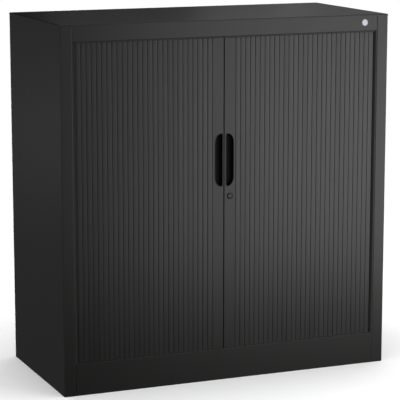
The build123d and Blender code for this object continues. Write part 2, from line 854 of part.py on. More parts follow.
# ---------------------------------------------------------------- badge disc
with BuildPart() as badge_disc:
    with BuildSketch(Plane.XZ.offset(-front_y)):
        with Locations((half_width - badge_inset_x, case_height - badge_drop)):
            Circle(badge_radius)
    extrude(amount=badge_thickness)
save(badge_disc.part, "badge_disc")
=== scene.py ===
import math

import bmesh
import bpy
from bpy.props import FloatProperty, FloatVectorProperty, PointerProperty, StringProperty
from mathutils import Matrix, Vector


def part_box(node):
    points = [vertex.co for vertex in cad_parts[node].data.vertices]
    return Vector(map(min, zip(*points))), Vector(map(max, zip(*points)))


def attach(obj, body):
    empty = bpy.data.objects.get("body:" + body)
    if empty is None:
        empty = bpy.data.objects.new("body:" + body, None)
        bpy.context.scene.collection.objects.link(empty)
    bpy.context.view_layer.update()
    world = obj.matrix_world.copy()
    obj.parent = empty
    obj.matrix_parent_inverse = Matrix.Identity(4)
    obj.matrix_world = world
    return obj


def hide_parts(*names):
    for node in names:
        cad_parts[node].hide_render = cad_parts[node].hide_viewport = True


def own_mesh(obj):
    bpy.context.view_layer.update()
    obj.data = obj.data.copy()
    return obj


bl_info = {
    "name": "Tambour Door Cabinet",
    "version": (1, 0, 0),
    "blender": (4, 5, 0),
    "location": "3D View > Sidebar > Cabinet",
    "description": "Finishes and details a steel cabinet with two sliding tambour doors",
    "category": "Object",
}

# Metres. The doors face -Y, +X is to the right of someone who faces them, and the floor is at z = 0.
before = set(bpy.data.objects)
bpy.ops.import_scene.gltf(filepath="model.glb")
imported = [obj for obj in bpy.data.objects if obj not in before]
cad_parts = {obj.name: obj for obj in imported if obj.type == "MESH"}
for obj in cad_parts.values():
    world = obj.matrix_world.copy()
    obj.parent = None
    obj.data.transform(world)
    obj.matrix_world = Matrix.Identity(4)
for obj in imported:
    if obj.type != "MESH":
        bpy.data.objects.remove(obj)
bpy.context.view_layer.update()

MM = 0.001
SIDES = {"left": -1, "right": 1}
FEET = ("front_left", "front_right", "rear_left", "rear_right")
ROUND = 48  # sides of a turned piece
SHARP = math.radians(35)  # steeper edges aren't shaded smooth
NOISE_RANGE = {"From Min": 0.3, "From Max": 0.7}  # noise keeps near its middle


# ---------------------------------------------------------------- sizes and colours

class FinishSettings(bpy.types.PropertyGroup):
    """Colours, as sRGB hex values, and gloss of the finishes."""
    coat_colour: StringProperty(name="Powder coat", description="Charcoal of the steel", default="#2B2B2A")
    coat_roughness: FloatProperty(
        name="Coat roughness", description="Satin of the powder coat", default=0.36, min=0, max=1)
    slat_colour: StringProperty(name="Slats", description="Charcoal of the extruded slats", default="#2A2A29")
    slat_roughness: FloatProperty(
        name="Slat roughness", description="Satin of the slats", default=0.36, min=0, max=1)
    # Near black: black moulded plastic, darkened further as painted shade for the insides of the grip cups.
    abs_colour: StringProperty(name="Moulded black", description="Black of the grip cups", default="#080808")
    acetal_colour: StringProperty(
        name="Tracks", description="Black of the tracks and shoes", default="#141414")
    zinc_colour: StringProperty(name="Zinc", description="Bright zinc plate", default="#C3C6C9")
    rubber_colour: StringProperty(name="Rubber", description="Charcoal of the seals", default="#323231")
    nickel_colour: StringProperty(
        name="Black nickel", description="Plate on the lock's ring", default="#262524")
    # The plug's nickel is set paler than the ring's as a painted highlight, where light catches the plug's
    # face.
    plug_highlight_colour: StringProperty(name="Plug", description="Worn nickel on the lock's plug", default="#3E3D3B")
    anodised_colour: StringProperty(name="Anodised", description="Satin disc", default="#B4B7BC")
    floor_colour: StringProperty(name="Floor", description="Plain pale floor", default="#F4F4F4")


class CurtainSettings(bpy.types.PropertyGroup):
    """Section of one slat and the way round the corner."""
    pitch: FloatProperty(name="Pitch", description="From hinge to hinge", default=15 * MM, unit="LENGTH")
    face: FloatProperty(name="Face", description="Hinge line to the crown", default=4.5 * MM, unit="LENGTH")
    back: FloatProperty(name="Back", description="Hinge line to the back", default=2.5 * MM, unit="LENGTH")
    gap: FloatProperty(name="Groove", description="Gap between two ribs", default=1.0 * MM, unit="LENGTH")
    crown: FloatProperty(name="Crown", description="Rise of the rib's face", default=0.12 * MM, unit="LENGTH")
    shoulder: FloatProperty(
        name="Shoulder", description="Radius of the rib's edges", default=0.5 * MM, unit="LENGTH")
    lip: FloatProperty(
        name="Lip", description="Thickness of the rib's far edge", default=1.5 * MM, unit="LENGTH")
    bead: FloatProperty(name="Bead", description="Radius of the bead", default=1.1 * MM, unit="LENGTH")
    play: FloatProperty(name="Play", description="Bead to socket", default=0.2 * MM, unit="LENGTH")
    wall: FloatProperty(
        name="Socket wall", description="Thickness of the hook", default=1.1 * MM, unit="LENGTH")
    mouth: FloatProperty(
        name="Mouth", description="Angle of the socket's lip", default=math.radians(245), subtype="ANGLE")
    hook: FloatProperty(
        name="Hook", description="Angle of the hook's tip", default=math.radians(152), subtype="ANGLE")
    neck: FloatProperty(name="Neck", description="Thickness behind the bead", default=1.0 * MM, unit="LENGTH")
    web_gap: FloatProperty(
        name="Web gap", description="Hinge line back to the solid web", default=3.1 * MM, unit="LENGTH")
    opening: FloatProperty(
        name="Half opening", description="Middle of the case to an upright", default=465 * MM, unit="LENGTH")
    bend: FloatProperty(name="Bend", description="Radius of the hinge line", default=25 * MM, unit="LENGTH")
    tail: FloatProperty(
        name="Tail", description="Least curtain kept behind the upright", default=18 * MM, unit="LENGTH")


class GripSettings(bpy.types.PropertyGroup):
    """Finger cup in each lead slat, and the raised bezel round it."""
    wall: FloatProperty(
        name="Wall", description="Thickness of the bezel and the slat", default=1 * MM, unit="LENGTH")
    cup_wall: FloatProperty(name="Cup wall", description="Wall of the cup", default=0.9 * MM, unit="LENGTH")
    floor: FloatProperty(name="Floor", description="Thickness of its floor", default=1 * MM, unit="LENGTH")
    rim: FloatProperty(name="Rim", description="Height of the bezel", default=0.6 * MM, unit="LENGTH")
    corner: FloatProperty(
        name="Corner", description="Radius of the bezel's corners", default=20 * MM, unit="LENGTH")
    taper: FloatProperty(
        name="Taper", description="Length of the cup's tapered ends", default=27 * MM, unit="LENGTH")
    tip: FloatProperty(
        name="Tip", description="Radius beside the straight side", default=4.6 * MM, unit="LENGTH")
    least_tip: FloatProperty(
        name="Least tip", description="Least radius there", default=0.1 * MM, unit="LENGTH")
    soft: FloatProperty(name="Softness", description="Rounding of the bezel", default=0.3 * MM, unit="LENGTH")
    draft: FloatProperty(name="Draft", description="Taper of the walls", default=0.4 * MM, unit="LENGTH")
    fillet: FloatProperty(name="Fillet", description="Radius at the floor", default=2.2 * MM, unit="LENGTH")
    seat: FloatProperty(
        name="Seat", description="Cup below the bezel's edge", default=0.3 * MM, unit="LENGTH")


class LockSettings(bpy.types.PropertyGroup):
    """Face, plug and barrel of the cam lock."""
    face_radius: FloatProperty(
        name="Face", description="Radius of the face", default=9.25 * MM, unit="LENGTH")
    face_height: FloatProperty(
        name="Height", description="Face above the slat", default=1.8 * MM, unit="LENGTH")
    edge: FloatProperty(
        name="Edge", description="Bore to the crest of the dome", default=0.7 * MM, unit="LENGTH")
    plug_radius: FloatProperty(name="Plug", description="Radius of the plug", default=6 * MM, unit="LENGTH")
    soft: FloatProperty(
        name="Softness", description="Bevel of the plug's rim", default=0.3 * MM, unit="LENGTH")
    fit: FloatProperty(name="Fit", description="Gap round the plug", default=0.08 * MM, unit="LENGTH")
    dish: FloatProperty(
        name="Dish", description="Depth of the face round the plug", default=0.5 * MM, unit="LENGTH")
    barrel: FloatProperty(name="Barrel", description="Radius of the barrel", default=7.9 * MM, unit="LENGTH")
    flats: FloatProperty(
        name="Flats", description="Across the barrel's flats", default=13.4 * MM, unit="LENGTH")
    key_width: FloatProperty(
        name="Keyway width", description="Width of the slot", default=2 * MM, unit="LENGTH")
    key_height: FloatProperty(
        name="Keyway height", description="Height of the slot", default=8 * MM, unit="LENGTH")
    key_depth: FloatProperty(
        name="Keyway depth", description="Depth of the slot", default=9 * MM, unit="LENGTH")
    tail: FloatProperty(name="Tail", description="Square end for the cam", default=6 * MM, unit="LENGTH")
    tail_length: FloatProperty(
        name="Tail length", description="Length of that end", default=2 * MM, unit="LENGTH")


class DiscSettings(bpy.types.PropertyGroup):
    """Plain disc on the top rail."""
    rim: FloatProperty(name="Rim", description="Width of the raised rim", default=1.44 * MM, unit="LENGTH")
    slope: FloatProperty(name="Slope", description="Rim to the flat middle", default=0.32 * MM, unit="LENGTH")
    middle: FloatProperty(
        name="Middle", description="Height of the middle, as a share of the rim's", default=0.6)


class FootSettings(bpy.types.PropertyGroup):
    """Pads and threads of the levelling feet."""
    pad_edge: FloatProperty(
        name="Pad edge", description="Rounding of the pad", default=1.5 * MM, unit="LENGTH")
    thread_pitch: FloatProperty(
        name="Thread pitch", description="M8 coarse", default=1.25 * MM, unit="LENGTH")
    thread_depth: FloatProperty(
        name="Thread depth", description="Depth of the thread", default=0.6 * MM, unit="LENGTH")


class SealSettings(bpy.types.PropertyGroup):
    """Rubber lip under the top rail, and beads beside the edges of the uprights."""
    bead_reach: FloatProperty(
        name="Bead reach", description="Upright's edge to the bead's tip", default=7.4 * MM, unit="LENGTH")
    bead_foot: FloatProperty(
        name="Bead foot", description="Part behind the upright", default=3.0 * MM, unit="LENGTH")
    bead_depth: FloatProperty(
        name="Bead depth", description="Sheet to its rear", default=5.0 * MM, unit="LENGTH")
    bead_flat: FloatProperty(
        name="Bead flat", description="Upright's edge to the slope", default=2.6 * MM, unit="LENGTH")
    bead_crown: FloatProperty(
        name="Bead crown", description="Rise of its slope", default=0.3 * MM, unit="LENGTH")
    sheet: FloatProperty(
        name="Sheet", description="Thickness of the upright", default=1.0 * MM, unit="LENGTH")
    opening_low: FloatProperty(
        name="Opening bottom", description="Top of the kick plate", default=92 * MM, unit="LENGTH")
    drop: FloatProperty(name="Drop", description="How far it hangs", default=4.2 * MM, unit="LENGTH")
    thickness: FloatProperty(
        name="Thickness", description="Thickness of the lip", default=1.6 * MM, unit="LENGTH")
    setback: FloatProperty(
        name="Setback", description="Rail's face to the lip", default=1.6 * MM, unit="LENGTH")
    opening_top: FloatProperty(
        name="Opening top", description="Underside of the top rail", default=992.5 * MM, unit="LENGTH")


class StageSettings(bpy.types.PropertyGroup):
    """Floor, lights and camera."""
    azimuth: FloatProperty(
        name="Azimuth", description="Turn to the right", default=math.radians(-22.56), subtype="ANGLE")
    elevation: FloatProperty(
        name="Elevation", description="Rise of the camera", default=math.radians(10.49), subtype="ANGLE")
    distance: FloatProperty(name="Distance", description="Camera to its aim", default=5.418, unit="LENGTH")
    lens: FloatProperty(name="Lens", description="Focal length in millimetres", default=164.475)
    aim: FloatVectorProperty(
        name="Aim", description="Point on the middle line", default=(0, 0, 0.52), subtype="TRANSLATION")
    aim_right: FloatProperty(name="Aim right", description="Shift of the aim", default=0.00653, unit="LENGTH")
    aim_up: FloatProperty(name="Aim up", description="Shift of the aim", default=-0.03346, unit="LENGTH")
    floor_size: FloatProperty(
        name="Floor size", description="Side of the floor", default=120.0, unit="LENGTH")
    floor_drop: FloatProperty(
        name="Floor drop", description="Floor under the case's edges", default=0.2 * MM, unit="LENGTH")
    glow_power: FloatProperty(name="Glow width", description="Sharpness of the room's glows", default=6.0)
    front_glow: FloatProperty(
        name="Front glow", description="Strength of the glow at the front left", default=0.508)
    rear_glow: FloatProperty(
        name="Rear glow", description="Strength of the glow at the rear left", default=0.224)
    backdrop: FloatProperty(name="Backdrop", description="Brightness above the horizon", default=1.0)
    power: FloatProperty(name="Lights", description="Scale of every softbox's power", default=1.0)
    wash: FloatProperty(name="Floor wash", description="Strength of the light on the floor", default=3.5)
    wash_spread: FloatProperty(
        name="Wash spread", description="Softness of its shadow", default=math.radians(60), subtype="ANGLE")


# ---------------------------------------------------------------- materials

def linear(colour):
    """An sRGB hex value as the linear colour that the shaders take."""
    channels = [int(colour[i:i + 2], 16) / 255 for i in (1, 3, 5)]
    return (*[c / 12.92 if c <= 0.04045 else ((c + 0.055) / 1.055) ** 2.4 for c in channels], 1)


def add_node(tree, kind, values=None, links=None, **settings):
    """Add a shader node with its settings, socket values and the sockets that feed it."""
    node = tree.nodes.new("ShaderNode" + kind)
    for name, value in settings.items():
        setattr(node, name, value)
    for name, value in (values or {}).items():
        node.inputs[name].default_value = value
    for name, source in (links or {}).items():
        tree.links.new(source, node.inputs[name])
    return node


def begin_material(name):
    """A new material with an empty tree, and the object's own coordinates in metres."""
    material = bpy.data.materials.new(name)
    material.use_nodes = True
    tree = material.node_tree
    tree.nodes.clear()
    place = add_node(tree, "TexCoord").outputs["Object"]
    return material, tree, place


def grain(tree, place, size, detail=2.0):
    """Noise whose features are `size` metres wide; size may differ along X, Y and Z."""
    sizes = size if isinstance(size, tuple) else (size,) * 3
    scaled = add_node(tree, "Mapping", {"Scale": [1 / s for s in sizes]}, {"Vector": place})
    noise = add_node(tree, "TexNoise", {"Scale": 1.0, "Detail": detail}, {"Vector": scaled.outputs["Vector"]})
    return noise.outputs["Fac"]


def shade(colour, factor):
    """An sRGB hex value, lighter or darker by a factor."""
    channels = [min(255, round(int(colour[i:i + 2], 16) * factor)) for i in (1, 3, 5)]
    return "#" + "".join(f"{c:02X}" for c in channels)


def surface(material, values, colour, roughness, bump=None):
    """The material, ended in one Principled shader that follows its noises.

    Colour is a noise, an sRGB hex value and its darkest and lightest shade, roughness is a noise, the least
    and the most, and bump is a noise, its strength and its height in metres.
    """
    tree = material.node_tree
    noise, base, dark, light = colour
    patches = add_node(tree, "MapRange", {**NOISE_RANGE, "To Min": 0.0, "To Max": 1.0}, {"Value": noise})
    mix = add_node(tree, "Mix", {"A": linear(shade(base, dark)), "B": linear(shade(base, light))},
                   {"Factor": patches.outputs["Result"]}, data_type="RGBA")
    noise, least, most = roughness
    gloss = add_node(tree, "MapRange", {**NOISE_RANGE, "To Min": least, "To Max": most}, {"Value": noise})
    links = {"Base Color": mix.outputs["Result"], "Roughness": gloss.outputs["Result"]}
    if bump:
        noise, strength, height = bump
        relief = add_node(tree, "Bump", {"Strength": strength, "Distance": height}, {"Height": noise})
        links["Normal"] = relief.outputs["Normal"]
    shader = add_node(tree, "BsdfPrincipled", values, links)
    add_node(tree, "OutputMaterial", links={"Surface": shader.outputs["BSDF"]})
    return material


def powder_coat(s, name, clouds, lightest, strength):
    """Baked polyester powder: a satin charcoal with the faint orange peel of melted grains."""
    material, tree, place = begin_material(name)
    # Real orange peel is 1 to 2 mm across. It is drawn 6 mm across, so that it shows at all.
    peel = grain(tree, place, 6 * MM, 3.0)
    return surface(material, {"IOR": 1.5},
                   colour=(grain(tree, place, clouds), s.coat_colour, 0.97, lightest),
                   roughness=(peel, s.coat_roughness - 0.03, s.coat_roughness + 0.03),
                   bump=(peel, strength, 0.05 * MM))


def powder_coated_steel(s):
    """Powder on folded sheet, even but for faint clouds."""
    return powder_coat(s, "powder_coated_steel", 160 * MM, 1.03, 0.25)


def powder_coated_aluminium(s):
    """The same powder on an extrusion, with faint draw lines up its length."""
    # Die lines are some 0.2 mm apart. They are drawn 3 mm apart, so that they show at all.
    return powder_coat(s, "powder_coated_aluminium", (3 * MM, 3 * MM, 400 * MM), 1.04, 0.2)


def extruded_pvc(s):
    """Rigid PVC drawn through a die: satin charcoal, with soft streaks along each slat."""
    material, tree, place = begin_material("extruded_pvc")
    # The die's streaks are some 0.3 mm wide. They are drawn 2.5 mm wide, so that they show at all.
    streaks = grain(tree, place, (2.5 * MM, 2.5 * MM, 500 * MM))
    batches = grain(tree, place, (22 * MM, 22 * MM, 3.0), 0.0)
    return surface(material, {"IOR": 1.53},
                   colour=(batches, s.slat_colour, 0.95, 1.05),
                   roughness=(streaks, s.slat_roughness - 0.04, s.slat_roughness + 0.04),
                   bump=(streaks, 0.2, 0.04 * MM))


def moulded_abs(s):
    """Injection-moulded black ABS from a spark-eroded tool, with a fine matt grain. Its near-black colour is
    partly real black plastic and partly painted shade for the insides of the grip cups' recesses.
    """
    material, tree, place = begin_material("moulded_abs")
    # Spark grain is 0.1 mm. It is drawn 1 mm across, so that it shows at all.
    sparks = grain(tree, place, 1 * MM)
    return surface(material, {"IOR": 1.54, "Specular IOR Level": 0.2},
                   colour=(sparks, s.abs_colour, 0.93, 1.12),
                   roughness=(sparks, 0.55, 0.7),
                   bump=(sparks, 0.3, 0.03 * MM))


def moulded_acetal(s):
    """Acetal, slippery and a little waxy, polished along the groove by what slides in it."""
    material, tree, place = begin_material("moulded_acetal")
    flow = grain(tree, place, (60 * MM, 4 * MM, 4 * MM))
    return surface(material, {"IOR": 1.48},
                   colour=(flow, s.acetal_colour, 0.94, 1.06),
                   roughness=(flow, 0.3, 0.45))


def bright_zinc_plate(s):
    """Electroplated zinc: bright, slightly cloudy steel colour with faint passivation tints."""
    material, tree, place = begin_material("bright_zinc_plate")
    clouds = grain(tree, place, 5 * MM, 3.0)
    # Plating crystals are under 0.1 mm. They are drawn 0.8 mm across, so that they show at all.
    crystals = grain(tree, place, 0.8 * MM, 1.0)
    return surface(material, {"Metallic": 1.0},
                   colour=(clouds, s.zinc_colour, 0.88, 1.0),
                   roughness=(clouds, 0.24, 0.4),
                   bump=(crystals, 0.2, 0.01 * MM))


def extruded_rubber(s):
    """Extruded charcoal rubber: soft, nearly matt, with a faint bloom that is paler in patches."""
    material, tree, place = begin_material("extruded_rubber")
    bloom = grain(tree, place, 12 * MM)
    return surface(material, {"IOR": 1.52, "Specular IOR Level": 0.35},
                   colour=(bloom, s.rubber_colour, 0.9, 1.1),
                   roughness=(bloom, 0.42, 0.55))


def nickel_plate(name, colour):
    """Nickel over turned brass: a dark, slightly scuffed mirror."""
    material, tree, place = begin_material(name)
    scuffs = grain(tree, place, 1.5 * MM, 3.0)
    return surface(material, {"Metallic": 1.0},
                   colour=(scuffs, colour, 0.85, 1.1),
                   roughness=(scuffs, 0.2, 0.34))


def black_nickel_plate(s):
    """Black nickel on the lock's ring, the darkest metal on the doors."""
    return nickel_plate("black_nickel_plate", s.nickel_colour)


def painted_highlight_nickel_plate(s):
    """The same plate on the plug, set paler than the ring's as a painted highlight."""
    return nickel_plate("painted_highlight_nickel_plate", s.plug_highlight_colour)


def satin_anodised_aluminium(s):
    """Blasted and clear anodised: an even silver with a fine frost."""
    material, tree, place = begin_material("satin_anodised_aluminium")
    # Blasting leaves pits of 0.05 mm. They are drawn 0.7 mm across, so that they show at all.
    frost = grain(tree, place, 0.7 * MM, 1.0)
    return surface(material, {"Metallic": 1.0},
                   colour=(frost, s.anodised_colour, 0.958, 0.982),
                   roughness=(frost, 0.34, 0.46),
                   bump=(frost, 0.25, 0.01 * MM))


def painted_floor(s):
    """Matt studio paint: plain and pale, with no visible grain from afar."""
    material, tree, place = begin_material("painted_floor")
    roller = grain(tree, place, 8 * MM)
    return surface(material, {"IOR": 1.4, "Specular IOR Level": 0.1},
                   colour=(roller, s.floor_colour, 0.996, 1.0),
                   roughness=(roller, 0.85, 0.95))


MATERIALS = {
    "powder_coat": powder_coated_steel,
    "lead_aluminium": powder_coated_aluminium,
    "slat_plastic": extruded_pvc,
    "black_plastic": moulded_abs,
    "track_plastic": moulded_acetal,
    "zinc_steel": bright_zinc_plate,
    "lock_metal": black_nickel_plate,
    "plug_metal": painted_highlight_nickel_plate,
    "rubber": extruded_rubber,
    "badge_metal": satin_anodised_aluminium,
    "floor": painted_floor,
}
made_materials = {}


def material_for(context, slot):
    """The material of a slot of the record, or of a finish of this script's own, made once."""
    if slot not in made_materials:
        made_materials[slot] = MATERIALS[slot](context.scene.cabinet_finishes)
    return made_materials[slot]


# ---------------------------------------------------------------- shapes

def arc(centre, radius, start, end, steps):
    """Points of an arc, both ends included, angles in degrees."""
    points = []
    for i in range(steps + 1):
        angle = math.radians(start + (end - start) * i / steps)
        points.append((centre[0] + radius * math.cos(angle), centre[1] + radius * math.sin(angle)))
    return points


def ring(bm, outline, height, place):
    """Vertices of an outline (u, v) at a height w, in the frame that `place` gives."""
    return [bm.verts.new(place @ Vector((u, v, height))) for u, v in outline]


def skin(bm, rings, closed=False):
    """Faces between rings of like length, and flat ends unless the last ring joins the first."""
    pairs = list(zip(rings, rings[1:]))
    if closed:
        pairs.append((rings[-1], rings[0]))
    for low, high in pairs:
        for i in range(len(low)):
            j = (i + 1) % len(low)
            bm.faces.new((low[i], low[j], high[j], high[i]))
    if not closed:
        bm.faces.new(rings[0])
        bm.faces.new(rings[-1])


def circle(radius, turn=0.0):
    """Points of a whole circle, each once, that starts at the angle `turn`."""
    return arc((0, 0), radius, turn, turn + 360 - 360 / ROUND, ROUND - 1)


def turned(bm, profile, place, closed=False):
    """Turned solid from points (radius, height) along its axis."""
    skin(bm, [ring(bm, circle(radius), height, place) for radius, height in profile], closed)


def new_piece(name, bm, slot, body, finish=None):
    """Make an object in its slot's material, or in another finish, that rides on a body."""
    bmesh.ops.recalc_face_normals(bm, faces=bm.faces)
    mesh = bpy.data.meshes.new(name)
    bm.to_mesh(mesh)
    bm.free()
    mesh.shade_smooth()
    mesh.set_sharp_from_angle(angle=SHARP)
    mesh.materials.append(material_for(bpy.context, finish or slot))
    piece = bpy.data.objects.new(name, mesh)
    bpy.context.scene.collection.objects.link(piece)
    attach(piece, body)
    return piece


def finish_nodes(context, slot, names):
    """Give CAD nodes the material of their slot."""
    for name in names:
        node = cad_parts[name]
        node.data.materials.clear()
        node.data.materials.append(material_for(context, slot))


def facing(origin):
    """Frame for pieces that face the front: u to the right, v up, w towards -Y."""
    return Matrix.Translation(origin) @ Matrix(((1, 0, 0, 0), (0, 0, -1, 0), (0, 1, 0, 0), (0, 0, 0, 1)))


# ---------------------------------------------------------------- curtain geometry

def slat_outline(s):
    """Section of a slat: this hinge at the origin, the next at +u, the ribbed face towards +v."""
    face_low = s.face - s.crown
    left = s.gap / 2 + s.shoulder
    right = s.pitch - left
    half = (right - left) / 2
    crown_radius = (half ** 2 + s.crown ** 2) / (2 * s.crown)
    crown_angle = math.degrees(math.asin(half / crown_radius))
    inner = s.bead + s.play
    outer = inner + s.wall
    web = s.pitch - s.web_gap
    lip_low = face_low - s.lip
    neck_angle = math.degrees(math.asin(s.neck / 2 / s.bead))
    mouth, hook = math.degrees(s.mouth), math.degrees(s.hook)
    # The crowned face between its two shoulders.
    points = arc((left, face_low - s.shoulder), s.shoulder, 180, 95, 4)
    points += arc((s.pitch / 2, s.face - crown_radius), crown_radius, 90 + crown_angle, 90 - crown_angle, 8)
    points += arc((right, face_low - s.shoulder), s.shoulder, 85, 0, 4)
    # The far edge, and the bead on its neck.
    points += [(s.pitch - s.gap / 2, lip_low), (web, lip_low), (web, s.neck / 2)]
    points += arc((s.pitch, 0), s.bead, 180 - neck_angle, neck_angle - 180, 14)
    # The back, the socket's inside, and the outside of its hook, whose tip is cut a little short.
    points += [(web, -s.neck / 2), (web, -s.back), (-s.back / math.tan(s.mouth), -s.back)]
    points += arc((0, 0), inner, mouth - 360, hook, 16)
    points += arc((0, 0), outer, hook - 6, 92, 5)
    points += [(s.gap / 2, outer + s.play)]
    return points


def hinge_point(s, side, start, hinge_y, run):
    """Place of the hinge line, `run` along it from the lead slat: straight, bend, straight."""
    past = run - (s.opening - start)
    quarter = s.bend * math.pi / 2
    centre_y = hinge_y + s.bend
    if past <= 0:
        return Vector((side * (s.opening + past), hinge_y, 0))
    if past <= quarter:
        turn = past / s.bend
        return Vector((side * (s.opening + s.bend * math.sin(turn)), centre_y - s.bend * math.cos(turn), 0))
    return Vector((side * (s.opening + s.bend), centre_y + past - quarter, 0))


def next_run(s, side, start, hinge_y, run):
    """Run of the next hinge, one straight slat further on."""
    here = hinge_point(s, side, start, hinge_y, run)
    step = s.pitch
    for _ in range(10):  # enough to settle on the bend
        step += s.pitch - (hinge_point(s, side, start, hinge_y, run + step) - here).length
    return run + step


def curtain_mesh(s, word):
    """All the slats of one door, each a closed solid hooked on the one before."""
    side = SIDES[word]
    low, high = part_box(f"{word}_curtain")
    lead_low, lead_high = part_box(f"{word}_lead_slat")
    start = max(-lead_low.x, lead_high.x) - s.bead
    hinge_y = low.y + s.face
    count = math.ceil((s.opening - start + s.tail) / s.pitch)
    outline = slat_outline(s)
    bm = bmesh.new()
    run = 0.0
    for _ in range(count):
        end_run = next_run(s, side, start, hinge_y, run)
        here = hinge_point(s, side, start, hinge_y, run)
        along = (hinge_point(s, side, start, hinge_y, end_run) - here).normalized()
        out = side * Vector((along.y, -along.x, 0))
        place = Matrix.Translation(here) @ Matrix((along, out, (0, 0, 1))).transposed().to_4x4()
        skin(bm, [ring(bm, outline, low.z, place), ring(bm, outline, high.z, place)])
        run = end_run
    return bm


# ---------------------------------------------------------------- grip geometry

def grip_outline(s, width, length, inset, tip, rise):
    """D shape, straight at u = 0, with oval corners `rise` tall at u = width, drawn in by `inset`."""
    half = length / 2 - inset
    wide = width - 2 * inset
    small = max(tip, s.least_tip)
    across = min(s.corner - inset, wide - small)
    near, far = inset + small, inset + wide - across
    up = rise - inset
    lower = [(far + across * u, up - half + up * v) for u, v in arc((0, 0), 1, 270, 360, 14)]
    return (arc((near, small - half), small, 180, 270, 6) + lower
            + [(u, -v) for u, v in reversed(lower)] + arc((near, half - small), small, 90, 180, 6))


def grip_place(s, word):
    """Width, length and depth of the cup, and the frame at the middle of its straight side."""
    side = SIDES[word]
    low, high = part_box(f"{word}_grip_cup")
    flat_x = low.x + s.wall if side > 0 else high.x - s.wall
    turn = Matrix(((side, 0, 0, 0), (0, 0, -1, 0), (0, 1, 0, 0), (0, 0, 0, 1)))
    place = Matrix.Translation((flat_x, low.y + s.rim, (low.z + high.z) / 2)) @ turn
    return high.x - low.x - 2 * s.wall, high.z - low.z - 2 * s.wall, high.y - low.y - s.rim - s.floor, place


def cup_mesh(s, word):
    """Closed cup with tapered walls and a filleted floor."""
    width, length, depth, place = grip_place(s, word)
    rows = [(-s.cup_wall, -depth - s.floor), (-s.cup_wall, -s.seat), (0, -s.seat)]
    for u, v in arc((0, 0), s.fillet, 180, 270, 8):
        rows.append((s.draft + s.fillet + u, s.fillet - depth + v))
    bm = bmesh.new()
    skin(bm, [ring(bm, grip_outline(s, width, length, inset, s.tip - inset, s.taper), height, place)
              for inset, height in rows])
    return bm


def bezel_mesh(s, word):
    """Raised frame that fills the hole in the lead slat round the cup's mouth."""
    width, length, _, place = grip_place(s, word)
    low = s.rim - s.soft
    outer = [(-s.wall, -s.wall), (-s.wall, low)]
    outer += [(-s.wall + s.soft + u, low + v) for u, v in arc((0, 0), s.soft, 150, 90, 2)]
    inner = [(-s.soft + u, low + v) for u, v in arc((0, 0), s.soft, 90, 0, 3)]
    inner.append((0, -s.wall))
    bm = bmesh.new()
    rings = [ring(bm, grip_outline(s, width, length, inset, s.soft, s.corner), height, place)
             for inset, height in outer]
    rings += [ring(bm, grip_outline(s, width, length, inset, s.tip - inset, s.taper), height, place)
              for inset, height in inner]
    skin(bm, rings, closed=True)
    return bm


# ---------------------------------------------------------------- lock geometry

def barrel_outline(s, radius):
    """Circle with a flat above and below."""
    half = s.flats / 2
    return [(u, max(-half, min(half, v))) for u, v in circle(radius)]


def keyway_outline(s, turn):
    """Slot, drawn as rays to its sides so that it has as many points as the plug's rim."""
    points = []
    for u, v in circle(1, turn):
        reach = min(s.key_width / 2 / abs(u), s.key_height / 2 / abs(v))
        points.append((u * reach, v * reach))
    return points


def lock_case_mesh(s, place, length):
    """Domed face ring and the flatted barrel behind it, bored for the plug."""
    bore = s.plug_radius + s.fit
    crest = bore + s.edge
    profile = [(bore, 0), (s.face_radius, 0)]
    for u, v in arc((0, 0), 1, 10, 90, 8):
        profile.append((crest + (s.face_radius - crest) * u, s.face_height * v))
    profile.append((bore, s.face_height - s.dish))
    bm = bmesh.new()
    turned(bm, profile, place, closed=True)
    inner = circle(bore)
    outer = barrel_outline(s, s.barrel)
    skin(bm, [ring(bm, inner, 0, place), ring(bm, outer, 0, place),
              ring(bm, outer, -length, place), ring(bm, inner, -length, place)], closed=True)
    return bm


def lock_plug_mesh(s, place, length):
    """Plug with a softened rim, its keyway and the square tail."""
    top = s.face_height - s.dish / 2
    turn = 180 / ROUND  # half a side, which keeps the rays off the slot's axes
    side = circle(s.plug_radius, turn)
    rim = circle(s.plug_radius - s.soft, turn)
    slot = keyway_outline(s, turn)
    bm = bmesh.new()
    skin(bm, [ring(bm, side, -length, place), ring(bm, side, top - s.soft, place), ring(bm, rim, top, place),
              ring(bm, slot, top, place), ring(bm, slot, top - s.key_depth, place)])
    half = s.tail / 2
    square = [(-half, -half), (half, -half), (half, half), (-half, half)]
    skin(bm, [ring(bm, square, -length - s.tail_length, place), ring(bm, square, -length, place)])
    return bm


# ---------------------------------------------------------------- seal geometry

def lip_mesh(s, half):
    """Strip whose section in Y and Z is flat against the rail's underside, and rounded below."""
    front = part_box("top_cover")[0].y + s.setback
    tip = s.thickness / 2
    outline = [(-tip, 0)] + arc((0, tip - s.drop), tip, 180, 360, 10) + [(tip, 0)]
    place = Matrix.Translation((0, front + tip, s.opening_top)) @ Matrix(
        ((0, 0, 1, 0), (1, 0, 0, 0), (0, 1, 0, 0), (0, 0, 0, 1)))
    bm = bmesh.new()
    skin(bm, [ring(bm, outline, -half, place), ring(bm, outline, half, place)])
    return bm


def bead_mesh(s, side, opening):
    """Bead beside an upright's edge: a narrow flat, then a crowned slope back to the slats."""
    place = Matrix.Translation((side * opening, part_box("top_cover")[0].y + s.sheet, 0)) @ Matrix.Diagonal(
        (side, 1, 1, 1))
    outline = [(s.bead_foot, s.bead_depth), (s.bead_foot, 0)]
    steps = 10
    for i in range(steps + 1):
        share = i / steps
        reach = s.bead_flat + (s.bead_reach - s.bead_flat) * share
        outline.append((-reach, s.bead_depth * share - s.bead_crown * math.sin(math.pi * share)))
    bm = bmesh.new()
    skin(bm, [ring(bm, outline, s.opening_low, place), ring(bm, outline, s.opening_top, place)])
    return bm


# ---------------------------------------------------------------- foot geometry

